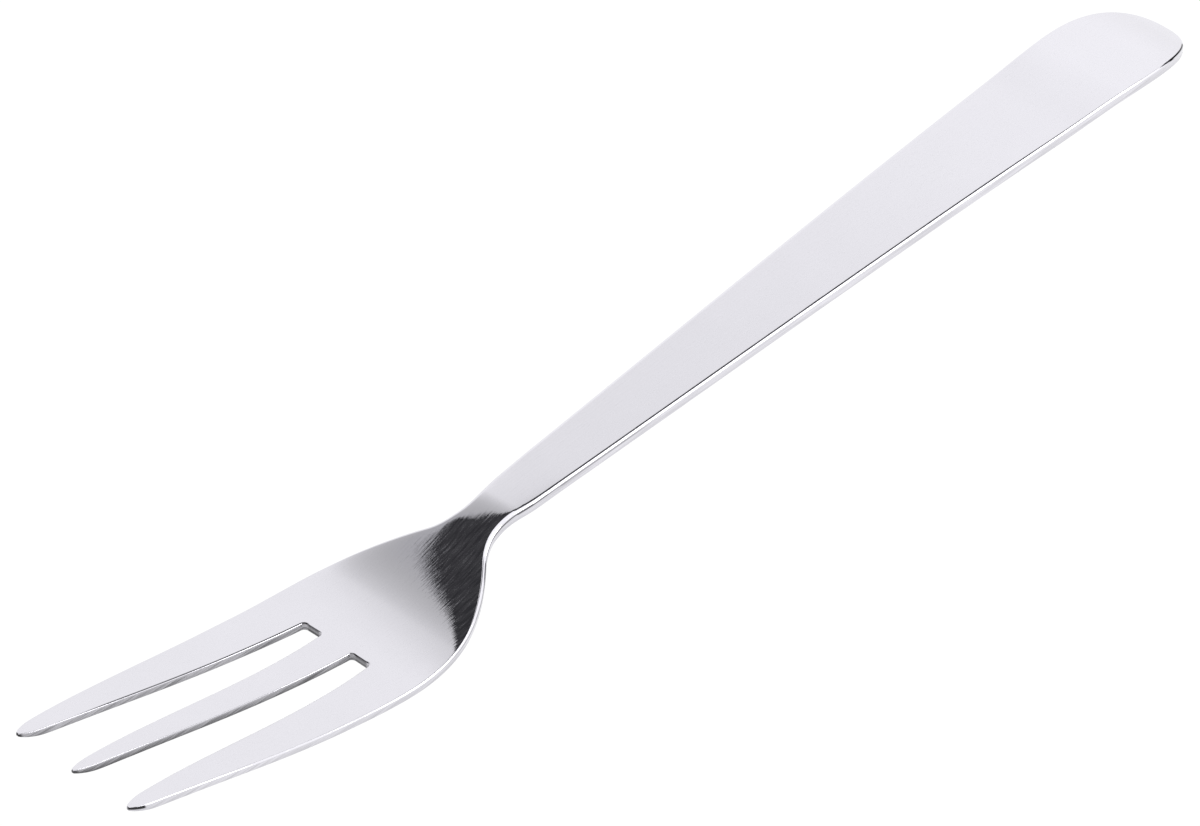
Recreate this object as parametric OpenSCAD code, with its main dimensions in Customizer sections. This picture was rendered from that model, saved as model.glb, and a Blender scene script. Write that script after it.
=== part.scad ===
// Salad fork pressed from one sheet of stainless steel: three tines, a shoulder,
// a neck raised off the table and a flat handle that widens to a rounded end.
// X runs from the tines (-X) to the handle's end (+X), Z is up, in millimetres.
// The origin is under the middle of the fork, on the table it lies on.

/* [Overall] */
// Length from the tips of the tines to the end of the handle
overall_length = 180; // [165:1:200]

/* [Head] */
// Width of the head where it is widest
head_width = 21.5; // [20:0.1:24]
// Distance of the widest place from the tips
head_widest_at = 38.4; // [36:0.1:41]
// Width over the two outer tines, at their tips
tip_spread = 17.65; // [16.5:0.05:18.5]
// How fast the outer edges spread at the tips, in mm per mm
tip_spread_slope = 0.11; // [0.06:0.001:0.16]
// Distance of the steepest part of the shoulder from the tips
shoulder_at = 58.4; // [57:0.1:61]
// Width of the head at the steepest part of the shoulder
shoulder_width = 8.9; // [8:0.05:10]
// Slope of the shoulder's edge there, in mm per mm
shoulder_slope = 0.87; // [0.7:0.01:0.95]
// How much the upper face's middle line stands over its edges, halfway up the tines
tine_crown = 0.06; // [0:0.01:0.15]
// The same where the head is widest
head_crown = 0.33; // [0:0.01:0.5]
// The same at the steepest part of the heel
heel_crown = 0.06; // [0:0.01:0.2]
// How much the head's long edges are rolled down beyond that
edge_roll = 0.08; // [0:0.01:0.15]

/* [Tines] */
// Length of the slots between the tines, from the tips
slot_length = 39.6; // [36:0.1:42]
// Width of each slot at its closed end
slot_width = 2.65; // [2:0.05:3.2]
// Radius of the corners at the closed end of a slot
slot_corner = 0.4; // [0.3:0.05:0.95]
// Width of the middle tine at its root
middle_tine_width = 4.4; // [3.4:0.1:4.8]
// Length of the rounded point of each tine
point_length = 2.8; // [2:0.1:3.5]
// Width the middle tine would have at its tip if it had no rounded point
middle_tip_width = 1.02; // [0.8:0.02:1.3]
// The same width for an outer tine
outer_tip_width = 1.41; // [1:0.01:1.7]
// How fast the inner edges of the outer tines close in at the tips, in mm per mm
outer_tine_tip_taper = 0.12; // [0.08:0.001:0.15]
// How fast the same edges close in at the roots, in mm per mm
outer_tine_root_taper = 0.092; // [0.06:0.001:0.15]
// How fast each edge of the middle tine spreads at its tip, in mm per mm
middle_tine_tip_taper = 0.099; // [0.06:0.001:0.14]
// How fast each edge of the middle tine spreads at its root, in mm per mm
middle_tine_root_taper = 0.052; // [0.02:0.001:0.08]

/* [Handle] */
// Distance of the narrowest place from the tips
neck_at = 68.3; // [67.2:0.1:70]
// Width of the neck at its narrowest place
neck_width = 6; // [5:0.05:7]
// Width that the straight edges of the handle reach at its end
handle_width = 14.65; // [12:0.05:17]
// Length of the rounding at the end of the handle
end_round_length = 15.9; // [9:0.1:18]
// Fullness of that rounding: 2 is an ellipse and larger is squarer
end_fullness = 2.44; // [2:0.02:3]

/* [Side view] */
// All heights are those of the upper face's middle line over the table
// Height at the tips
tip_height = 12.28; // [10:0.02:15]
// How steeply the tines climb at the tips, in mm per mm
tip_slope = 0.222; // [0.12:0.001:0.35]
// Distance of the belly, the lowest part of the head, from the tips
belly_at = 47.7; // [45:0.1:50]
// Distance of the steepest part of the heel's rise from the tips
rise_at = 60.2; // [58:0.1:62.5]
// Height there
rise_height = 4.2; // [3.6:0.02:4.7]
// Slope of the heel's rise there, in mm per mm
rise_slope = 0.351; // [0.25:0.001:0.45]
// Distance of the top of the rise from the tips
rise_end_at = 65.6; // [64.6:0.1:70]
// Height of the neck at the top of the rise
neck_height = 5.27; // [5:0.01:7]
// Height where the handle begins to bend down
crown_height = 5.31; // [4.5:0.01:7]
// Distance of that place from the end of the handle
crown_from_end = 26.5; // [22:0.1:34]
// How steeply the handle drops there, in mm per mm
crown_slope = 0.022; // [0:0.001:0.05]
// How steeply the handle drops at its end, in mm per mm
end_slope = 0.524; // [0.2:0.001:0.6]

/* [Sheet] */
// Thickness at the very points of the tines
point_thickness = 0.48; // [0.4:0.02:0.8]
// Thickness of the tines behind their points
tine_thickness = 1; // [0.9:0.01:1.2]
// Thickness at the roots of the tines
root_thickness = 1.16; // [1:0.01:1.5]
// Thickness of the neck and the handle
handle_thickness = 1.51; // [1.2:0.01:2]
// Thickness at the end of the handle
end_thickness = 1.4; // [1.2:0.01:2]
// Radius of the long edges, above and below
edge_radius = 0.34; // [0.2:0.01:0.45]
// Radius of the edges at the tips of the tines
tip_edge_radius = 0.12; // [0.06:0.01:0.14]

/* [Hidden] */

// Length over which the tines' edge radius grows to the full one
edge_radius_run = 15;
// Length behind the slots over which the sheet reaches the handle's thickness
thickening_run = 37;
// Stations of the crowning, as distances from the tips: its first value from the
// tips up, then that of the head, of the heel and of the flat handle
crown_stations = [30, 42, 65, 66, 75];
// The rolled edges begin and end between these distances
roll_in = [38, 46];
roll_out = [66, 74];
// Length behind the tips over which the sheet thins to the points
thinning_run = 4;

// Segments across an outer tine, a slot and the middle tine
outer_seg = 4;
slot_seg = 2;
middle_seg = 4;
cols = 2 * outer_seg + 2 * slot_seg + middle_seg;
// Angles of the rows round a tine's point, and steps along the tines,
// round a slot's corner, over the heel, along the handle and to its rounding
nose_angles = [78, 60, 42, 22, 0];
tine_steps = 19;
corner_steps = 5;
heel_steps = 29;
handle_steps = 20;
drop_steps = 8;
end_steps = 12;
// Steps of the quarter round on each long edge
edge_steps = 3;

crown_at = overall_length - crown_from_end;
end_round_at = overall_length - end_round_length;
handle_taper = (handle_width - neck_width) / 2 / (overall_length - neck_at);
middle_root = middle_tine_width / 2;
outer_root = middle_root + slot_width;
outer_tip = tip_spread / 2 - outer_tip_width;
corner_at = slot_length - slot_corner;

// Cubic curve through two points with the slopes m0 and m1 there
function cubic(x, x0, y0, m0, x1, y1, m1) =
    let (h = x1 - x0, t = (x - x0) / h)
    (2 * pow(t, 3) - 3 * pow(t, 2) + 1) * y0
    + (pow(t, 3) - 2 * pow(t, 2) + t) * h * m0
    + (3 * pow(t, 2) - 2 * pow(t, 3)) * y1
    + (pow(t, 3) - pow(t, 2)) * h * m1;

// 0 before x0, 1 after x1 and a smooth step between them
function ease(x, x0, x1) =
    let (t = max(0, min(1, (x - x0) / (x1 - x0))))
    t * t * (3 - 2 * t);

// Half the fork's width at distance s from the tips, without the end's rounding
function straight_edge(s) = neck_width / 2 + handle_taper * (s - neck_at);
function half_width(s) =
    s < head_widest_at
    ? cubic(s, 0, tip_spread / 2, tip_spread_slope, head_widest_at, head_width / 2, 0)
    : s < shoulder_at
    ? cubic(s, head_widest_at, head_width / 2, 0,
            shoulder_at, shoulder_width / 2, -shoulder_slope)
    : s < neck_at
    ? cubic(s, shoulder_at, shoulder_width / 2, -shoulder_slope,
            neck_at, neck_width / 2, handle_taper)
    : straight_edge(s);

// The two edges of a slot, as distances from the fork's middle line
function outer_tine_edge(s) =
    cubic(s, 0, outer_tip, -outer_tine_tip_taper,
          slot_length, outer_root, -outer_tine_root_taper);
function middle_tine_edge(s) =
    cubic(s, 0, middle_tip_width / 2, middle_tine_tip_taper,
          slot_length, middle_root, middle_tine_root_taper);

// Side view: thickness, and height of the upper face on the middle line
function thickness(s) =
    tine_thickness
    + (point_thickness - tine_thickness) * pow(max(0, 1 - s / thinning_run), 2)
    + (root_thickness - tine_thickness) * min(1, max(0, s) / slot_length)
    + (handle_thickness - root_thickness)
      * ease(s, slot_length, slot_length + thickening_run)
    + (end_thickness - handle_thickness)
      * max(0, (s - crown_at) / (overall_length - crown_at));
function crown_of(s) =
    let (c = crown_stations)
    tine_crown * ease(s, 0, c[0])
    + (head_crown - tine_crown) * ease(s, c[0], c[1])
    + (heel_crown - head_crown) * ease(s, c[1], c[2])
    - heel_crown * ease(s, c[3], c[4]);
function roll_of(s) =
    edge_roll * ease(s, roll_in[0], roll_in[1]) * (1 - ease(s, roll_out[0], roll_out[1]));
belly_height = thickness(belly_at) + crown_of(belly_at) + roll_of(belly_at);
function profile(s) =
    s < belly_at
    ? cubic(s, 0, tip_height, -tip_slope, belly_at, belly_height, 0)
    : s < rise_at
    ? cubic(s, belly_at, belly_height, 0, rise_at, rise_height, rise_slope)
    : s < rise_end_at
    ? cubic(s, rise_at, rise_height, rise_slope, rise_end_at, neck_height, 0)
    : s < crown_at
    ? cubic(s, rise_end_at, neck_height, 0, crown_at, crown_height, -crown_slope)
    : cubic(s, crown_at, crown_height, -crown_slope,
            overall_length, end_thickness, -end_slope);
function upper(p) =
    let (v = abs(p[1] / half_width(p[0])))
    profile(p[0]) - crown_of(p[0]) * pow(v, 2) - roll_of(p[0]) * pow(v, 8);
function lower(p) = upper(p) - thickness(p[0]);
function radius_at(s) =
    tip_edge_radius + (edge_radius - tip_edge_radius) * ease(s, 0, edge_radius_run);

// A tine's rows: points round its nose, along its edge and round the slot's corner
tine_s = [for (i = [1:tine_steps - 1]) point_length + (corner_at - point_length) * i / tine_steps];
corner_a = [for (i = [0:corner_steps]) 90 * i / corner_steps];
nose_s = [for (a = nose_angles) point_length * (1 - sin(a))];
function narrowed(i, edge, other) = (edge + other) / 2 + (edge - other) / 2 * cos(nose_angles[i]);
nose_rows = [0:len(nose_angles) - 1];
function corner_row(root, side) =
    [for (a = corner_a) [corner_at + slot_corner * sin(a), root - side * slot_corner * (1 - cos(a))]];

outer_side = concat(
    [for (i = nose_rows) let (s = nose_s[i]) [s, narrowed(i, half_width(s), outer_tine_edge(s))]],
    [for (s = tine_s) [s, half_width(s)]],
    [for (p = corner_row(0, 1)) [p[0], half_width(p[0])]]);
slot_outer = concat(
    [for (i = nose_rows) let (s = nose_s[i]) [s, narrowed(i, outer_tine_edge(s), half_width(s))]],
    [for (s = tine_s) [s, outer_tine_edge(s)]],
    [for (p = corner_row(0, 1)) [p[0], outer_tine_edge(p[0]) + p[1]]]);
slot_inner = concat(
    [for (i = nose_rows) let (s = nose_s[i], y = middle_tine_edge(s)) [s, narrowed(i, y, -y)]],
    [for (s = tine_s) [s, middle_tine_edge(s)]],
    [for (p = corner_row(0, -1)) [p[0], middle_tine_edge(p[0]) + p[1]]]);
tine_rows = len(outer_side);

// The body's rows, from the closed ends of the slots to the handle's end
first_row = slot_length + 1;
heel_s = [for (i = [0:heel_steps - 1]) first_row + (neck_at + 3 - first_row) * i / heel_steps];
handle_s = [for (i = [0:handle_steps - 1])
    neck_at + 3 + (crown_at - neck_at - 3) * i / handle_steps];
drop_s = [for (i = [0:drop_steps - 1]) crown_at + (end_round_at - crown_at) * i / drop_steps];
end_a = [for (i = [0:end_steps]) i < end_steps ? 84 * i / (end_steps - 1) : 88.5];
end_side = [for (a = end_a)
    let (s = end_round_at + end_round_length * pow(sin(a), 2 / end_fullness))
    [s, straight_edge(s) * pow(cos(a), 2 / end_fullness)]];
body_side = concat([for (s = concat(heel_s, handle_s, drop_s)) [s, half_width(s)]], end_side);
rows = tine_rows + len(body_side);

// The outline, counterclockwise seen from above, as [distance from the tips, y]
function flip(p) = [p[0], -p[1]];
function back(list) = [for (i = [len(list) - 1:-1:0]) list[i]];
function between(p, q, n) = [for (i = [1:n - 1]) p + (q - p) * i / n];
side = concat(outer_side, body_side);
last = len(side) - 1;
root = tine_rows - 1;
outline = concat(
    [for (p = side) flip(p)],
    between(flip(side[last]), side[last], cols),
    back(side),
    between(side[0], slot_outer[0], outer_seg),
    slot_outer,
    between(slot_outer[root], slot_inner[root], slot_seg),
    back(slot_inner),
    between(slot_inner[0], flip(slot_inner[0]), middle_seg),
    [for (p = slot_inner) flip(p)],
    between(flip(slot_inner[root]), flip(slot_outer[root]), slot_seg),
    back([for (p = slot_outer) flip(p)]),
    between(flip(slot_outer[0]), flip(side[0]), outer_seg));
n_out = len(outline);
function unit(v) = v / norm(v);
function outward(i) =
    let (p = outline[i],
         a = unit(p - outline[(i + n_out - 1) % n_out]),
         b = unit(outline[(i + 1) % n_out] - p),
         t = unit(a + b))
    [t[1], -t[0]];
normals = [for (i = [0:n_out - 1]) outward(i)];

// Rings of the rounded edge, from the upper face over the side to the lower face
levels = 2 * edge_steps + 2;
function ring_point(i, k) =
    let (top = k <= edge_steps,
         a = 90 * (top ? 1 - k / edge_steps : (k - edge_steps - 1) / edge_steps),
         r = radius_at(outline[i][0]),
         p = outline[i] - normals[i] * r * (1 - cos(a)))
    [p[0], p[1], top ? upper(p) - r * (1 - sin(a)) : lower(p) + r * (1 - sin(a))];
ring = [for (k = [0:levels - 1]) for (i = [0:n_out - 1]) ring_point(i, k)];

// Numbers of the outline's points along each edge, for row r or column c
plus_from = rows + cols - 1;
plus_nose = plus_from + rows;
plus_slot = plus_nose + outer_seg - 1;
plus_wall = plus_slot + tine_rows;
middle_plus = plus_wall + slot_seg - 1;
middle_tip = middle_plus + tine_rows;
middle_minus = middle_tip + middle_seg - 1;
minus_wall = middle_minus + tine_rows;
minus_slot = minus_wall + slot_seg - 1;
minus_nose = minus_slot + tine_rows;
// Columns of the slots' edges
c1 = outer_seg;
c2 = c1 + slot_seg;
c3 = c2 + middle_seg;
c4 = c3 + slot_seg;
function border(r, c) =
    c == 0 ? r
    : c == cols ? plus_from + rows - 1 - r
    : r == rows - 1 ? rows + c - 1
    : r > root ? -1
    : c == c4 ? plus_slot + r
    : c == c3 ? middle_plus + root - r
    : c == c2 ? middle_minus + r
    : c == c1 ? minus_slot + root - r
    : r == root ? (c > c3 && c < c4 ? plus_wall + c4 - 1 - c
                   : c > c1 && c < c2 ? minus_wall + c2 - 1 - c : -1)
    : r > 0 ? -1
    : c > c4 ? plus_nose + cols - 1 - c
    : c > c2 ? middle_tip + c3 - 1 - c
    : minus_nose + c1 - 1 - c;
function in_slot(c) = (c > c1 && c < c2) || (c > c3 && c < c4);

// Points of the two faces inside the outline, in rows across the fork
function plan(r, c) = let (p = ring[border(r, c)]) [p[0], p[1]];
function mix_in(r, a, b, c) = plan(r, a) + (plan(r, b) - plan(r, a)) * (c - a) / (b - a);
root_y = [for (c = [0:cols])
    border(root, c) >= 0 ? plan(root, c)[1]
    : c < c1 ? mix_in(root, 0, c1, c)[1]
    : c < c3 ? mix_in(root, c2, c3, c)[1] : mix_in(root, c4, cols, c)[1]];
function inside(r, c) =
    r > root
    ? plan(r, 0) + (plan(r, cols) - plan(r, 0)) * (root_y[c] - root_y[0]) / (root_y[cols] - root_y[0])
    : c < c1 ? mix_in(r, 0, c1, c)
    : c < c3 ? mix_in(r, c2, c3, c) : mix_in(r, c4, cols, c);
grid = [for (r = [0:rows - 1]) for (c = [0:cols])
    border(r, c) >= 0 || (r <= root && in_slot(c)) ? [0, 0] : inside(r, c)];
faces_from = levels * n_out;
lower_from = faces_from + rows * (cols + 1);
raw = concat(ring,
    [for (p = grid) [p[0], p[1], upper(p)]],
    [for (p = grid) [p[0], p[1], lower(p)]]);

// The fork is settled on the table: its lowest points at the belly and at the
// handle's end both come to height 0
belly_low = min([for (p = ring) if (p[0] > slot_length && p[0] < neck_at) p[2]]);
end_low = min([for (p = ring) if (p[0] > end_round_at) p[2]]);
function settle(p) =
    let (t = (p[0] - belly_at) / (overall_length - belly_at))
    [p[0] - overall_length / 2, p[1], p[2] - belly_low - (end_low - belly_low) * t];
points = [for (p = raw) settle(p)];

function up(r, c) = let (b = border(r, c)) b >= 0 ? b : faces_from + r * (cols + 1) + c;
function down(r, c) =
    let (b = border(r, c))
    b >= 0 ? (levels - 1) * n_out + b : lower_from + r * (cols + 1) + c;
function sheet_cell(r, c) = r >= root || c < c1 || (c >= c2 && c < c3) || c >= c4;
upper_faces = [for (r = [0:rows - 2]) for (c = [0:cols - 1]) if (sheet_cell(r, c))
    each [[up(r, c), up(r, c + 1), up(r + 1, c + 1)], [up(r, c), up(r + 1, c + 1), up(r + 1, c)]]];
lower_faces = [for (r = [0:rows - 2]) for (c = [0:cols - 1]) if (sheet_cell(r, c))
    each [[down(r, c), down(r + 1, c + 1), down(r, c + 1)],
          [down(r, c), down(r + 1, c), down(r + 1, c + 1)]]];
side_faces = [for (k = [0:levels - 2]) for (i = [0:n_out - 1])
    let (j = (i + 1) % n_out, a = k * n_out, b = a + n_out)
    each [[a + i, a + j, b + j], [a + i, b + j, b + i]]];

module fork() {
    color([0.86, 0.86, 0.88])
    polyhedron(points, concat(upper_faces, lower_faces, side_faces), convexity = 8);
}

fork();
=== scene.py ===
import math

import bpy
import numpy as np
from mathutils import Matrix, Vector


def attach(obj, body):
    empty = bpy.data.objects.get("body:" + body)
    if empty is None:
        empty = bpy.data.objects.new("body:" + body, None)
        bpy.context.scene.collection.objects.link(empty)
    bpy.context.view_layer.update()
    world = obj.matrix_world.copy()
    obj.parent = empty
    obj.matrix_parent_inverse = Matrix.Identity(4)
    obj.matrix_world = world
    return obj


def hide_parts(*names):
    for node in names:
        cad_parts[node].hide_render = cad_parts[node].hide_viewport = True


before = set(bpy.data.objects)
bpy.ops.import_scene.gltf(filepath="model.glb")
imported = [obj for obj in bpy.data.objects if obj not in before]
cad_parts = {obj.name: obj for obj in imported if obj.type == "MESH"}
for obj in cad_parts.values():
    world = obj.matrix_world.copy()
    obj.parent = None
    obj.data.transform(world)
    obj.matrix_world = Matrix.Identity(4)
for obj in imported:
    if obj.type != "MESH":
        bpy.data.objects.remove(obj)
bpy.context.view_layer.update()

MM = 0.001

# ---- Sizes of the fork in millimetres, the same as in part.scad ----
LENGTH = 180.0
HEAD_WIDTH, WIDEST_AT = 21.5, 38.4
TIP_SPREAD, TIP_SPREAD_SLOPE = 17.65, 0.11
SHOULDER_AT, SHOULDER_WIDTH, SHOULDER_SLOPE = 58.4, 8.9, 0.87
TINE_CROWN, HEAD_CROWN, HEEL_CROWN, EDGE_ROLL = 0.06, 0.33, 0.06, 0.08
CROWN_STATIONS, ROLL_IN, ROLL_OUT = (30, 42, 65, 66, 75), (38, 46), (66, 74)
SLOT_LENGTH, SLOT_WIDTH, SLOT_CORNER = 39.6, 2.65, 0.4
MIDDLE_WIDTH, MIDDLE_TIP, OUTER_TIP = 4.4, 1.02, 1.41
OUTER_TAPER = (0.12, 0.092)
MIDDLE_TAPER = (0.099, 0.052)
POINT_LENGTH = 2.8
NECK_AT, NECK_WIDTH = 68.3, 6.0
HANDLE_WIDTH, END_ROUND, END_FULLNESS = 14.65, 15.9, 2.44
TIP_HEIGHT, TIP_SLOPE, BELLY_AT = 12.28, 0.222, 47.7
RISE_AT, RISE_HEIGHT, RISE_SLOPE = 60.2, 4.2, 0.351
RISE_END_AT, NECK_HEIGHT = 65.6, 5.27
CROWN_HEIGHT, CROWN_FROM_END, CROWN_SLOPE = 5.31, 26.5, 0.022
END_SLOPE = 0.524
POINT_THICK, TINE_THICK, ROOT_THICK, HANDLE_THICK, END_THICK = 0.48, 1.0, 1.16, 1.51, 1.4
THINNING_RUN, THICKENING_RUN = 4.0, 37.0
EDGE_RADIUS, TIP_EDGE_RADIUS, EDGE_RADIUS_RUN = 0.34, 0.12, 15.0

# Waves of the heel that only the reflections show, each with its height, its distance
# from the tips and its run: a swelling, a lean to the near side and a roll of the near edge
HEEL_SWELL = (0.105, 60.74, 1.47)
HEEL_LEAN = (0.054, 61.7, 2.24)
NEAR_ROLL = (0.06, 51.0, 2.6)

# ---- How finely the mesh follows those curves ----
OUTER_SEG, SLOT_SEG, MIDDLE_SEG = 12, 8, 10
TINE_STEPS, CORNER_STEPS, HEEL_STEPS = 90, 14, 96
HANDLE_STEPS, DROP_STEPS, END_STEPS = 90, 40, 40
NOSE_ANGLES = np.linspace(78, 0, 14)
END_ANGLES = np.r_[np.linspace(0, 86, END_STEPS), 88.5]
WALL_STEPS, EDGE_STEPS = 6, 6
# The rows behind the slots begin so far from them; those of the heel end so far past the neck
ROW_GAP, PAST_NECK = 0.6, 3

CROWN_AT = LENGTH - CROWN_FROM_END
END_ROUND_AT = LENGTH - END_ROUND
TAPER = (HANDLE_WIDTH - NECK_WIDTH) / 2 / (LENGTH - NECK_AT)
CORNER_AT = SLOT_LENGTH - SLOT_CORNER


# ---- The fork's widths and heights, by the distance s from the tips ----
def cubic(x, x0, y0, m0, x1, y1, m1):
    """The curve from (x0, y0) with slope m0 to (x1, y1) with slope m1."""
    h = x1 - x0
    t = (x - x0) / h
    return ((2 * t**3 - 3 * t**2 + 1) * y0 + (t**3 - 2 * t**2 + t) * h * m0
            + (3 * t**2 - 2 * t**3) * y1 + (t**3 - t**2) * h * m1)


def ease(x, x0, x1):
    t = max(0.0, min(1.0, (x - x0) / (x1 - x0)))
    return t * t * (3 - 2 * t)


def within(x, rise_run, fall_run):
    """0 outside, eased to 1 over the first run and back to 0 over the second."""
    return ease(x, *rise_run) * (1 - ease(x, *fall_run))


def wave(s, height, at, run):
    return height * math.exp(-((s - at) / run) ** 2)


def straight_edge(s):
    return NECK_WIDTH / 2 + TAPER * (s - NECK_AT)


def half_width(s):
    shoulder = (SHOULDER_AT, SHOULDER_WIDTH / 2, -SHOULDER_SLOPE)
    if s < WIDEST_AT:
        return cubic(s, 0, TIP_SPREAD / 2, TIP_SPREAD_SLOPE, WIDEST_AT, HEAD_WIDTH / 2, 0)
    if s < SHOULDER_AT:
        return cubic(s, WIDEST_AT, HEAD_WIDTH / 2, 0, *shoulder)
    if s < NECK_AT:
        return cubic(s, *shoulder, NECK_AT, NECK_WIDTH / 2, TAPER)
    return straight_edge(s)


def outer_tine_edge(s):
    return cubic(s, 0, TIP_SPREAD / 2 - OUTER_TIP, -OUTER_TAPER[0],
                 SLOT_LENGTH, MIDDLE_WIDTH / 2 + SLOT_WIDTH, -OUTER_TAPER[1])


def middle_tine_edge(s):
    return cubic(s, 0, MIDDLE_TIP / 2, MIDDLE_TAPER[0],
                 SLOT_LENGTH, MIDDLE_WIDTH / 2, MIDDLE_TAPER[1])


def thickness(s):
    return (TINE_THICK + (POINT_THICK - TINE_THICK) * max(0, 1 - s / THINNING_RUN) ** 2
            + (ROOT_THICK - TINE_THICK) * min(1, max(0, s) / SLOT_LENGTH)
            + (HANDLE_THICK - ROOT_THICK) * ease(s, SLOT_LENGTH, SLOT_LENGTH + THICKENING_RUN)
            + (END_THICK - HANDLE_THICK) * max(0, (s - CROWN_AT) / (LENGTH - CROWN_AT)))


def rise(s, belly):
    if s < RISE_AT:
        return cubic(s, BELLY_AT, belly, 0, RISE_AT, RISE_HEIGHT, RISE_SLOPE)
    return cubic(s, RISE_AT, RISE_HEIGHT, RISE_SLOPE, RISE_END_AT, NECK_HEIGHT, 0)


def profile(s):
    """Height of the upper face's middle line."""
    belly = thickness(BELLY_AT) + crown(BELLY_AT) + rolled(BELLY_AT)
    if s < BELLY_AT:
        return cubic(s, 0, TIP_HEIGHT, -TIP_SLOPE, BELLY_AT, belly, 0)
    if s < RISE_END_AT:
        return rise(s, belly) + wave(s, *HEEL_SWELL)
    if s < CROWN_AT:
        return cubic(s, RISE_END_AT, NECK_HEIGHT, 0, CROWN_AT, CROWN_HEIGHT, -CROWN_SLOPE)
    return cubic(s, CROWN_AT, CROWN_HEIGHT, -CROWN_SLOPE, LENGTH, END_THICK, -END_SLOPE)


def crown(s):
    """How far the middle line stands over the edges."""
    a, b, c, d, e = CROWN_STATIONS
    return (TINE_CROWN * ease(s, 0, a) + (HEAD_CROWN - TINE_CROWN) * ease(s, a, b)
            + (HEEL_CROWN - HEAD_CROWN) * ease(s, b, c) - HEEL_CROWN * ease(s, d, e))


def rolled(s):
    """How far the edges are rolled down beyond that."""
    return EDGE_ROLL * within(s, ROLL_IN, ROLL_OUT)


def upper(p):
    s = p[0]
    v = p[1] / half_width(s)
    height = profile(s) - crown(s) * v ** 2 - rolled(s) * v ** 8 + v * wave(s, *HEEL_LEAN)
    return height - v ** 12 * wave(s, *NEAR_ROLL) if v < 0 else height


def lower(p):
    return upper(p) - thickness(p[0])


def radius_at(s):
    return TIP_EDGE_RADIUS + (EDGE_RADIUS - TIP_EDGE_RADIUS) * ease(s, 0, EDGE_RADIUS_RUN)


# ---- The outline, counterclockwise from above: [distance from the tips, y] ----
# Row r of the grid runs across the fork at one distance from the tips, with the columns
# c from the near edge to the far one; C1 to C4 are the columns of the slots' edges
def nose_row(edge, other):
    rows = []
    for a in np.radians(NOSE_ANGLES):
        s = POINT_LENGTH * (1 - math.sin(a))
        rows.append((s, (edge(s) + other(s)) / 2 + (edge(s) - other(s)) / 2 * math.cos(a)))
    return rows


def spread(a, b, n):
    return a + (b - a) * np.arange(n) / n


corner_rad = np.radians(np.linspace(0, 90, CORNER_STEPS + 1))
corner_s = CORNER_AT + SLOT_CORNER * np.sin(corner_rad)
corner_in = SLOT_CORNER * (1 - np.cos(corner_rad))
tine_s = spread(POINT_LENGTH, CORNER_AT, TINE_STEPS)[1:]


def edge_rows(nose, curve, inward):
    along = [(s, curve(s)) for s in tine_s]
    corner = [(s, curve(s) + inward * c) for s, c in zip(corner_s, corner_in)]
    return np.vstack([nose, along, corner])


outer_side = edge_rows(nose_row(half_width, outer_tine_edge), half_width, 0)
slot_outer = edge_rows(nose_row(outer_tine_edge, half_width), outer_tine_edge, -1)
slot_inner = edge_rows(nose_row(middle_tine_edge, lambda s: -middle_tine_edge(s)),
                       middle_tine_edge, 1)
tine_rows = len(outer_side)
root = tine_rows - 1
body_s = np.r_[spread(SLOT_LENGTH + ROW_GAP, NECK_AT + PAST_NECK, HEEL_STEPS),
               spread(NECK_AT + PAST_NECK, CROWN_AT, HANDLE_STEPS),
               spread(CROWN_AT, END_ROUND_AT, DROP_STEPS)]
end_rad = np.radians(END_ANGLES)
end_s = END_ROUND_AT + END_ROUND * np.sin(end_rad) ** (2 / END_FULLNESS)
end_y = [straight_edge(s) for s in end_s] * np.cos(end_rad) ** (2 / END_FULLNESS)
side = np.vstack([outer_side, [(s, half_width(s)) for s in body_s], np.c_[end_s, end_y]])
rows = len(side)
COLS = 2 * OUTER_SEG + 2 * SLOT_SEG + MIDDLE_SEG
C1, C2 = OUTER_SEG, OUTER_SEG + SLOT_SEG
C3, C4 = COLS - C2, COLS - C1
flip = np.array([1, -1])

# border says which point of the outline a cell (r, c) of the grid is
outline, border = [], {}


def trace(points, cells):
    for p, cell in zip(points, cells):
        border[cell] = len(outline)
        outline.append(np.array(p))


def across(p, q, r, c0, c1):
    n = abs(c1 - c0)
    step = 1 if c1 > c0 else -1
    trace([p + (q - p) * i / n for i in range(1, n)], [(r, c0 + step * i) for i in range(1, n)])


tine_r = list(range(tine_rows))
all_r = list(range(rows))
trace(side * flip, [(r, 0) for r in all_r])
across(side[-1] * flip, side[-1], rows - 1, 0, COLS)
trace(side[::-1], [(r, COLS) for r in all_r[::-1]])
across(side[0], slot_outer[0], 0, COLS, C4)
trace(slot_outer, [(r, C4) for r in tine_r])
across(slot_outer[root], slot_inner[root], root, C4, C3)
trace(slot_inner[::-1], [(r, C3) for r in tine_r[::-1]])
across(slot_inner[0], slot_inner[0] * flip, 0, C3, C2)
trace(slot_inner * flip, [(r, C2) for r in tine_r])
across(slot_inner[root] * flip, slot_outer[root] * flip, root, C2, C1)
trace((slot_outer * flip)[::-1], [(r, C1) for r in tine_r[::-1]])
across(slot_outer[0] * flip, side[0] * flip, 0, C1, 0)
outline = np.array(outline)
count = len(outline)

forward = np.roll(outline, -1, axis=0) - outline
forward /= np.linalg.norm(forward, axis=1)[:, None]
tangent = forward + np.roll(forward, 1, axis=0)
tangent /= np.linalg.norm(tangent, axis=1)[:, None]
normal = np.c_[tangent[:, 1], -tangent[:, 0]]

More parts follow.
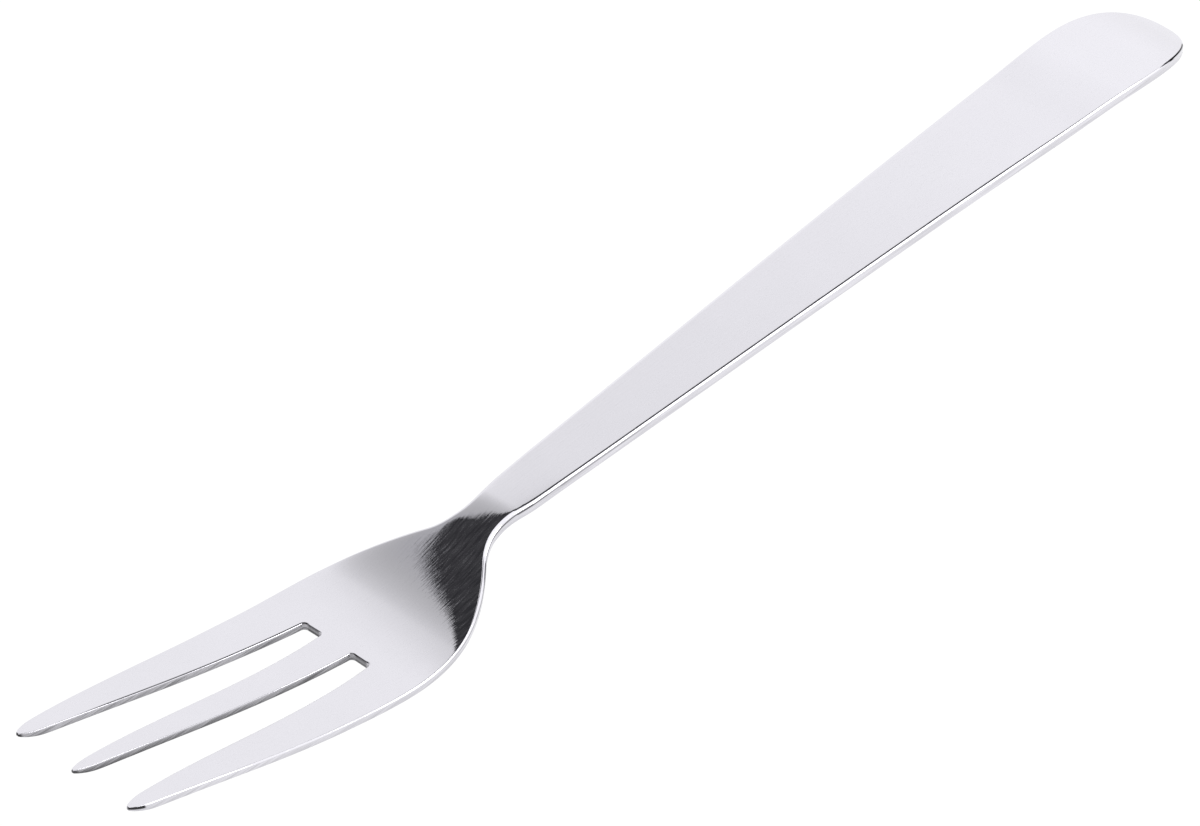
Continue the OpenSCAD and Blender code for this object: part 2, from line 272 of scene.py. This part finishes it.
# ---- Rings round the edge, from the upper face over the side to the lower face ----
# Above, the polished edge turns with one radius at the shoulder, a second on the bevel
# below it and a third to the side; TILTS are the edge's tilts from level, ring by ring
TILTS = (0, 5, 10, 15, 20, 25, 35, 46, 57, 72, 90)
SHOULDER_TILT, BEVEL_TILT, SIDE_TILT = 25, 57, 90
TOP_STEPS = len(TILTS) - 1
WALL_END = TOP_STEPS + WALL_STEPS
LEVELS = WALL_END + EDGE_STEPS + 1

# The kinds of edge: the slots' edges along the outer tines, along the middle tine and at
# their closed ends, the tips, the handle's end, and the rest of the outside
OUTER_WALL, MIDDLE_WALL, END_WALL, NOSE, END_RIM, FREE_EDGE = range(6)
END_RIM_AT = 178.5
# Their radii, which shrink with the edge's own radius towards the tips; the last two
# kinds have a thin radius that widens along a part of the fork
SHOULDER = {OUTER_WALL: 0.5, MIDDLE_WALL: 0.2, END_WALL: 0.2, NOSE: 0.12}
BEVEL = {OUTER_WALL: 0.12, MIDDLE_WALL: 0.12, END_WALL: 0.1, NOSE: 0.4}
THIN_SHOULDER, WIDE_SHOULDER, SHOULDER_RUNS = 0.12, 0.55, ((46, 60), (140, 165))
THIN_BEVEL, WIDE_BEVEL, BEVEL_RUNS = 0.4, 0.65, ((50, 56), (62, 70))
SIDE_RADIUS = 0.2


def kind_of(r, c, s):
    if s > END_RIM_AT:
        return END_RIM
    if r == root and (C1 < c < C2 or C3 < c < C4):
        return END_WALL
    if c in (C1, C4):
        return OUTER_WALL
    if c in (C2, C3):
        return MIDDLE_WALL
    return NOSE if r == 0 else FREE_EDGE


edge_kind = [FREE_EDGE] * count
for (r, c), i in border.items():
    edge_kind[i] = kind_of(r, c, outline[i][0])


def shoulder_radius(kind, s):
    widened = THIN_SHOULDER + (WIDE_SHOULDER - THIN_SHOULDER) * within(s, *SHOULDER_RUNS)
    return SHOULDER.get(kind, widened)


def bevel_radius(kind, s):
    return BEVEL.get(kind, THIN_BEVEL + (WIDE_BEVEL - THIN_BEVEL) * within(s, *BEVEL_RUNS))


def turned(tilt, shoulder, bevel):
    """Inset from the side and drop from the face where the edge is tilted so much."""
    inset = drop = 0.0
    for low, high, radius in ((0, SHOULDER_TILT, shoulder), (SHOULDER_TILT, BEVEL_TILT, bevel),
                              (BEVEL_TILT, SIDE_TILT, SIDE_RADIUS)):
        a, b, t = (math.radians(v) for v in (low, high, min(max(tilt, low), high)))
        inset += radius * (math.sin(b) - math.sin(t))
        drop += radius * (math.cos(a) - math.cos(t))
    return inset, drop


def edge_point(k, i):
    """Point i of the outline, moved to ring k."""
    s, kind = outline[i][0], edge_kind[i]
    r = radius_at(s)
    inset, drop = (v * r / EDGE_RADIUS for v in turned(
        TILTS[min(k, TOP_STEPS)], shoulder_radius(kind, s), bevel_radius(kind, s)))
    if k > TOP_STEPS:
        down_wall = min(1, (k - TOP_STEPS) / WALL_STEPS)
        a = math.radians(90 * max(0, k - WALL_END) / EDGE_STEPS)
        inset = r * (1 - math.cos(a))
        under = thickness(s) - r * (1 - math.sin(a))
        drop = drop * (1 - down_wall) + under * down_wall
    p = outline[i] - normal[i] * inset
    return p[0], p[1], upper(p) - drop


ring = np.array([edge_point(k, i) for k in range(LEVELS) for i in range(count)])


# ---- The grids of the upper and the lower face, and the whole mesh ----
def plan(r, c):
    return ring[border[(r, c)]][:2]


def mix(r, a, b, c):
    return plan(r, a) + (plan(r, b) - plan(r, a)) * (c - a) / (b - a)


def tine_point(r, c):
    return mix(r, 0, C1, c) if c < C1 else mix(r, C2, C3, c) if c < C3 else mix(r, C4, COLS, c)


root_y = np.array([plan(root, c)[1] if (root, c) in border else tine_point(root, c)[1]
                   for c in range(COLS + 1)])
share = (root_y - root_y[0]) / (root_y[-1] - root_y[0])


def body_point(r, c):
    return plan(r, 0) + (plan(r, COLS) - plan(r, 0)) * share[c]


verts = list(ring)
up, down = {}, {}
for r in range(rows):
    for c in range(COLS + 1):
        if (r, c) in border:
            up[r, c] = border[r, c]
            down[r, c] = (LEVELS - 1) * count + border[r, c]
        elif r > root or not (C1 < c < C2 or C3 < c < C4):
            p = tine_point(r, c) if r <= root else body_point(r, c)
            up[r, c], down[r, c] = len(verts), len(verts) + 1
            verts += [(p[0], p[1], upper(p)), (p[0], p[1], lower(p))]
verts = np.array(verts)

# Settled on the table as in part.scad, and moved to the frame's origin
belly_low = min(v[2] for v in ring if SLOT_LENGTH < v[0] < NECK_AT)
end_low = min(v[2] for v in ring if v[0] > END_ROUND_AT)
ramp = (verts[:, 0] - BELLY_AT) / (LENGTH - BELLY_AT)
verts[:, 2] -= belly_low + (end_low - belly_low) * ramp
verts[:, 0] -= LENGTH / 2

faces = []
for r in range(rows - 1):
    for c in range(COLS):
        if r >= root or c < C1 or C2 <= c < C3 or c >= C4:
            faces.append((up[r, c], up[r + 1, c], up[r + 1, c + 1], up[r, c + 1]))
            faces.append((down[r, c], down[r, c + 1], down[r + 1, c + 1], down[r + 1, c]))
for k in range(LEVELS - 1):
    for i in range(count):
        j = (i + 1) % count
        a, b = k * count, (k + 1) * count
        faces.append((a + i, b + i, b + j, a + j))

mesh = bpy.data.meshes.new("fork_body")
mesh.from_pydata([tuple(v * MM) for v in verts], [], faces)
mesh.validate()
for poly in mesh.polygons:
    poly.use_smooth = True
body = bpy.data.objects.new("fork_body", mesh)
bpy.context.collection.objects.link(body)

# ---- How rough each point of the edge is, and how dark it is painted ----
# For each kind of edge: depths under the upper face, as shares of the sheet's thickness, and how
# bright the steel is painted there beside the polished faces. This is painted shade and painted
# dark reflections, where the edges would reflect the shaded floor under the fork and the dark
# studio
EDGE_PAINTED_SHADE = {
    OUTER_WALL: ((0.08, 0.11, 0.2, 0.5, 0.75, 1),
                 (1, 0.8, 0.55, 0.52, 0.42, 0.26)),
    MIDDLE_WALL: ((0.01, 0.04, 0.12, 0.2, 0.5, 0.75, 1),
                  (1, 0.9, 0.72, 0.45, 0.38, 0.18, 0.12)),
    END_WALL: ((0.01, 0.04, 0.1, 0.2, 0.5, 0.7, 0.85, 1),
               (1, 0.35, 0.08, 0.3, 0.24, 0.1, 0.28, 0.2)),
    NOSE: ((0.05, 0.2, 0.5, 1), (1, 0.3, 0.4, 0.5)),
    END_RIM: ((0.005, 0.03, 1), (1, 0.97, 0.92)),
    FREE_EDGE: ((0.08, 0.16, 0.4, 1), (1, 0.95, 0.92, 0.78)),
}
# Painted dark reflections on small facets and creases of the edge, and painted shade in the slots'
# corners: from and to along the fork, from and to across it, from and to in depth, how softly they
# end along the fork, and how bright they are
PAINTED_DARK_REFLECTIONS = {
    "painted reflection on the near tip's facet": (-1, 1.7, -9.2, -8.15, 0.02, 0.5, 0.1, 0.05),
    "painted reflection on the middle tip's facet": (-1, 0.4, -1.2, 0.2, 0.1, 1.1, 0.4, 0.25),
    "painted reflection on the far tip's facet": (-1, 0.3, 7.0, 8.3, 0.1, 0.9, 0.15, 0.1),
    "painted shade in the far slot's corner": (39.3, 40, 4.5, 5.0, 0.0005, 0.12, 0.08, 0.2),
    "painted shade in the near slot's corner": (39.35, 40, -3.0, -2.1, 0.0005, 0.12, 0.08, 0.25),
    "painted dark reflection on the far slot's upper edge": (12, 40, 4.0, 8.3, 0.003, 0.035, 6, 0.22),
    "painted dark reflection beside the neck": (63, 70, -12, 0, 0.19, 0.31, 3, 0.3),
    "painted reflection's faint ends beside the neck": (50, 82, -12, 0, 0.19, 0.31, 6, 0.55),
    "painted reflection on the handle's end": (172.9, 178, -6.6, -4.3, 0.008, 0.12, 0.1, 0.04),
}
# The slots' sheared walls are rough between these depths, and the other edges less so
ROUGH_DEPTHS, ROUGH_SHARES, OTHER_EDGES = (0.15, 0.3, 0.85, 1), (0, 1, 1, 0), 0.3


# How much the painted dark reflections and painted shade darken the colour at a point of the edge
def painted_reflection_dimming(p, depth):
    value = 1.0
    for s0, s1, y0, y1, d0, d1, soft, bright in PAINTED_DARK_REFLECTIONS.values():
        if y0 < p[1] < y1 and d0 < depth < d1:
            value *= 1 - (1 - bright) * within(p[0], (s0 - soft, s0), (s1, s1 + soft))
    return value


# Painted shade on the edges, by depth and kind of edge, times the painted dark reflections, kept
# as a mesh attribute
wall, painted_shade = np.zeros(len(verts)), np.ones(len(verts))
for k in range(LEVELS):
    for i in range(count):
        v, kind = k * count + i, edge_kind[i]
        depth = (verts[i][2] - verts[v][2]) / thickness(outline[i][0])
        rough = np.interp(depth, ROUGH_DEPTHS, ROUGH_SHARES)
        wall[v] = rough * (1 if kind in (OUTER_WALL, MIDDLE_WALL, END_WALL) else OTHER_EDGES)
        painted_shade[v] = np.interp(depth, *EDGE_PAINTED_SHADE[kind]) * painted_reflection_dimming(outline[i], depth)
mesh.attributes.new("wall", "FLOAT", "POINT").data.foreach_set("value", wall)
mesh.attributes.new("painted_shade", "FLOAT", "POINT").data.foreach_set("value", painted_shade)


BUMP_DISTANCE = 0.1 * MM


class Shader:
    """A node tree with short ways to add to it; a value is a number, a colour or a socket."""

    def __init__(self, tree):
        self.tree = tree

    def node(self, kind, **settings):
        n = self.tree.nodes.new(kind)
        for key, value in settings.items():
            setattr(n, key, value)
        return n

    def put(self, n, **values):
        for key, value in values.items():
            socket = n.inputs[key.replace("_", " ")]
            if isinstance(value, bpy.types.NodeSocket):
                self.tree.links.new(value, socket)
            else:
                socket.default_value = value
        return n

    def remap(self, value, low, high, to_low=0.0, to_high=1.0, curve="LINEAR"):
        n = self.node("ShaderNodeMapRange", interpolation_type=curve)
        return self.put(n, Value=value, From_Min=low, From_Max=high, To_Min=to_low,
                        To_Max=to_high).outputs["Result"]

    def combine(self, operation, a, b):
        n = self.node("ShaderNodeMath", operation=operation)
        self.tree.links.new(a, n.inputs[0])
        self.tree.links.new(b, n.inputs[1])
        return n.outputs["Value"]

    def times(self, a, b):
        return self.combine("MULTIPLY", a, b)

    def mix(self, factor, a, b, data_type="RGBA", **settings):
        n = self.node("ShaderNodeMix", data_type=data_type, **settings)
        return self.put(n, Factor=factor, A=a, B=b).outputs["Result"]

    def noise(self, coords, cells, detail, roughness=0.6, turn=0.0):
        placed = self.put(self.node("ShaderNodeMapping"), Vector=coords, Scale=cells,
                          Rotation=(0, 0, math.radians(turn)))
        n = self.put(self.node("ShaderNodeTexNoise"), Vector=placed.outputs["Vector"],
                     Scale=1.0, Detail=detail, Roughness=roughness)
        return n.outputs["Fac"]

    def attribute(self, name):
        return self.node("ShaderNodeAttribute", attribute_name=name).outputs["Fac"]

    def bump(self, height, strength, **under):
        n = self.put(self.node("ShaderNodeBump"), Height=height, Strength=strength,
                     Distance=BUMP_DISTANCE, **under)
        return n.outputs["Normal"]


# ---- Polished steel ----
# Noises: their cells per metre along the three axes, how much detail they have, how
# rough it is, and their turn about the vertical in degrees
STREAKS = {"cells": (400, 5200, 400), "detail": 4.0, "turn": -30}
WAVES = {"cells": (120, 120, 120), "detail": 2.0, "roughness": 0.5}
SHEAR = {"cells": (120, 120, 4500), "detail": 3.0}
# What follows from a noise: the noise from and to, and the values at these two
STREAK_METALLIC = (0.4, 0.7, 1.0, 0.95)
STREAK_ROUGHNESS = (0.5, 0.85, 0.02, 0.25)
WAVE_TONES = (0.0, 1.0, 0.96, 1.0)
SHEAR_TONES = (0.35, 0.65, 0.5, 1.4)
# The tines and the head are painted a little darker than the handle, painted shade for their
# dimmer reflections: from and to along the frame's x in metres, and how bright the steel is at
# these two
HEAD_TO_HANDLE = (-0.03, -0.012, 0.93, 1.0)
STEEL_COLOUR = (0.79, 0.78, 0.83, 1)
STREAK_BUMP, WALL_ROUGHNESS = 0.04, 0.3


def polished_steel():
    mat = bpy.data.materials.new("polished_steel")
    mat.use_nodes = True
    sh = Shader(mat.node_tree)
    coords = sh.node("ShaderNodeTexCoord").outputs["Object"]
    along = sh.put(sh.node("ShaderNodeSeparateXYZ"), Vector=coords).outputs["X"]
    wall, painted_shade = sh.attribute("wall"), sh.attribute("painted_shade")
    # Fine polishing streaks that cross the fork at a slant and scatter a little light
    streaks = sh.noise(coords, **STREAKS)
    metallic = sh.remap(streaks, *STREAK_METALLIC)
    # Broad waves left by pressing and buffing
    waves = sh.remap(sh.noise(coords, **WAVES), *WAVE_TONES)
    # Painted shade: the steel's colour is darkened towards the head
    painted_head_shade = sh.remap(along, *HEAD_TO_HANDLE, "SMOOTHSTEP")
    steel = sh.mix(1.0, STEEL_COLOUR, sh.times(waves, painted_head_shade), blend_type="MULTIPLY")
    # Along the sheared walls run bands that are darker or lighter than the rest
    shear = sh.noise(coords, **SHEAR)
    bands = sh.mix(wall, 1.0, sh.remap(shear, *SHEAR_TONES), "FLOAT")
    # Painted shade: the edges' painted darkening and painted dark reflections multiply the steel's
    # colour
    colour = sh.mix(1.0, steel, sh.times(bands, painted_shade), blend_type="MULTIPLY")
    roughness = sh.mix(wall, sh.remap(streaks, *STREAK_ROUGHNESS), WALL_ROUGHNESS, "FLOAT")
    normal = sh.bump(shear, wall, Normal=sh.bump(streaks, STREAK_BUMP))
    sh.put(mat.node_tree.nodes["Principled BSDF"], Base_Color=colour, Metallic=metallic,
           Roughness=roughness, Normal=normal)
    return mat


body.data.materials.append(polished_steel())
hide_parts("fork")
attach(body, "root")

# ---- Camera, at the photograph's angle ----
AZIMUTH, ELEVATION = math.radians(41.992), math.radians(42.34)
LOOK_AT, DISTANCE, CLIP = Vector((0, 0, 0.006)), 0.9, (0.01, 20.0)
SENSOR_MM = 36.0
# In pixels of the photograph: its width, the focal length, and how far its middle is
# from the point that the camera looks at
PHOTO_WIDTH = 1200
FOCAL_PIXELS = 8140.9
OFF_CENTRE = (50.9, 31.5)
ca, sa = math.cos(AZIMUTH), math.sin(AZIMUTH)
ce, se = math.cos(ELEVATION), math.sin(ELEVATION)
right, above = Vector((sa, -ca, 0)), Vector((ca * se, sa * se, ce))
towards = Vector((-ca * ce, -sa * ce, se))
data = bpy.data.cameras.new("camera")
data.sensor_width = SENSOR_MM
data.lens = FOCAL_PIXELS / PHOTO_WIDTH * SENSOR_MM
data.shift_x = -OFF_CENTRE[0] / PHOTO_WIDTH
data.shift_y = -OFF_CENTRE[1] / PHOTO_WIDTH
data.clip_start, data.clip_end = CLIP
camera = bpy.data.objects.new("camera", data)
camera.matrix_world = (Matrix.Translation(LOOK_AT + towards * DISTANCE)
                       @ Matrix((right, above, towards)).transposed().to_4x4())
bpy.context.collection.objects.link(camera)
bpy.context.scene.camera = camera

# ---- Floor: pale paper that glows, so that the picture shows it white ----
HALF = 4.0
UNDER_FORK = 0.05 * MM
PAPER_COLOUR, PAPER_ROUGHNESS = (0.05, 0.05, 0.05, 1), 0.9
GLOW_COLOUR, GLOW = (1, 1, 1, 1), 1.0
corners = [(-HALF, -HALF, 0), (HALF, -HALF, 0), (HALF, HALF, 0), (-HALF, HALF, 0)]
floor_mesh = bpy.data.meshes.new("floor")
floor_mesh.from_pydata(corners, [], [(0, 1, 2, 3)])
floor = bpy.data.objects.new("floor", floor_mesh)
floor.location.z = -UNDER_FORK
bpy.context.collection.objects.link(floor)
paper = bpy.data.materials.new("paper")
paper.use_nodes = True
Shader(paper.node_tree).put(
    paper.node_tree.nodes["Principled BSDF"], Base_Color=PAPER_COLOUR,
    Roughness=PAPER_ROUGHNESS, Specular_IOR_Level=0.0, Emission_Color=GLOW_COLOUR,
    Emission_Strength=GLOW)
floor.data.materials.append(paper)

# ---- Studio: a white tent with a black flag overhead, whose border fades to grey ----
# Each plane through the fork is given by a vector: a direction's product with it says
# on which side of the plane the direction lies, and a blur says where the change
# begins and ends
TENT = (1.3, 1.3, 1.3, 1)
FLAG = (0.036, 0.036, 0.039, 1)
FLAG_EDGE, FLAG_BLUR = Vector((-0.333, -0.793, 0.511)), (-0.029, -0.022)
# The flag and its border take the left of the sky and a part of the right; the zenith
# and the near side stay clear
LEFT, RIGHT, RIGHT_END = (0.0, 1.0, -0.1), (1.0, 0.0, -0.45), (0.0, 1.0, 0.25)
PART_BLUR = (-0.02, 0.02)
# The tent darkens towards the flag, and more so on the far side, by planes that turn
# away from the flag's edge about the directions whose y is FADE_PIVOT; the stops are
# how bright it is at these distances before the last plane
FAR_SIDE, FADE_PIVOT, FADE_LENGTH = 0.85, 0.48, 0.6
FADE_START, FADE_END = (1.12, 1.12, 1.12, 1), (0.51, 0.51, 0.52, 1)
FADE_STOPS = ((-0.3, 1.11), (-0.25, 1.06), (-0.2, 0.935), (-0.15, 0.785), (-0.1, 0.665),
              (-0.05, 0.575))
# A dark gap along the horizon between the table and the tent, higher straight ahead
GAP = (0.05, 0.05, 0.055, 1)
GAP_TOP, GAP_TOP_BLUR = (0.5, 0.15, -1.0), (0.0, 0.04)
GAP_FAR_END, GAP_FAR_BLUR = (0.208, -0.978, 0.0), (-0.03, 0.03)
GAP_NEAR_END, GAP_NEAR_BLUR = (0.407, 0.914, 0.0), (0.0, 0.04)
# Straight ahead the tent fades towards the table's white near the horizon
LOW_WHITE = (1.04, 1.04, 1.04, 1)
LOW, LOW_BLUR = (0.0, 0.0, 1.0), (0.4, 0.0)
AHEAD, AHEAD_BLUR = (-0.208, 0.978, 0.0), (0.0, 0.3)


def studio():
    world = bpy.data.worlds.new("studio")
    bpy.context.scene.world = world
    world.use_nodes = True
    sh = Shader(world.node_tree)
    direction = sh.node("ShaderNodeTexCoord").outputs["Generated"]

    def distance(plane):
        n = sh.node("ShaderNodeVectorMath", operation="DOT_PRODUCT")
        n.inputs[1].default_value = plane
        sh.tree.links.new(direction, n.inputs[0])
        return n.outputs["Value"]

    def beyond(plane, blur):
        return sh.remap(distance(plane), *blur, curve="SMOOTHSTEP")

    last = FAR_SIDE * FADE_PIVOT
    fading = sh.remap(distance(FLAG_EDGE + FAR_SIDE * Vector((0, 1, 0))), last - FADE_LENGTH, last)
    fade = sh.put(sh.node("ShaderNodeValToRGB"), Fac=fading)
    stops = fade.color_ramp.elements
    stops[0].color, stops[1].color = FADE_START, FADE_END
    for before, bright in FADE_STOPS:
        stops.new((before + FADE_LENGTH) / FADE_LENGTH).color = (bright, bright, bright, 1)
    flagged = sh.mix(beyond(FLAG_EDGE, FLAG_BLUR), fade.outputs["Color"], FLAG)
    right_part = sh.times(beyond(RIGHT, PART_BLUR), beyond(RIGHT_END, PART_BLUR))
    part = sh.combine("MAXIMUM", beyond(LEFT, PART_BLUR), right_part)
    tent = sh.mix(part, TENT, flagged)
    tent = sh.mix(sh.times(beyond(LOW, LOW_BLUR), beyond(AHEAD, AHEAD_BLUR)), tent, LOW_WHITE)
    gap = sh.times(beyond(GAP_TOP, GAP_TOP_BLUR), beyond(GAP_FAR_END, GAP_FAR_BLUR))
    gap = sh.times(gap, beyond(GAP_NEAR_END, GAP_NEAR_BLUR))
    sh.put(world.node_tree.nodes["Background"], Color=sh.mix(gap, tent, GAP), Strength=1.0)


studio()


def softbox(name, at, size, power):
    light = bpy.data.lights.new(name, "AREA")
    light.shape, light.size, light.energy = "DISK", size, power
    obj = bpy.data.objects.new(name, light)
    obj.location = at
    obj.rotation_euler = (-Vector(at)).to_track_quat("-Z", "Y").to_euler()
    bpy.context.collection.objects.link(obj)


softbox("softbox_front", at=(0.95, -1.17, 0.9), size=0.9, power=9)

bpy.context.scene.view_settings.view_transform = "Standard"
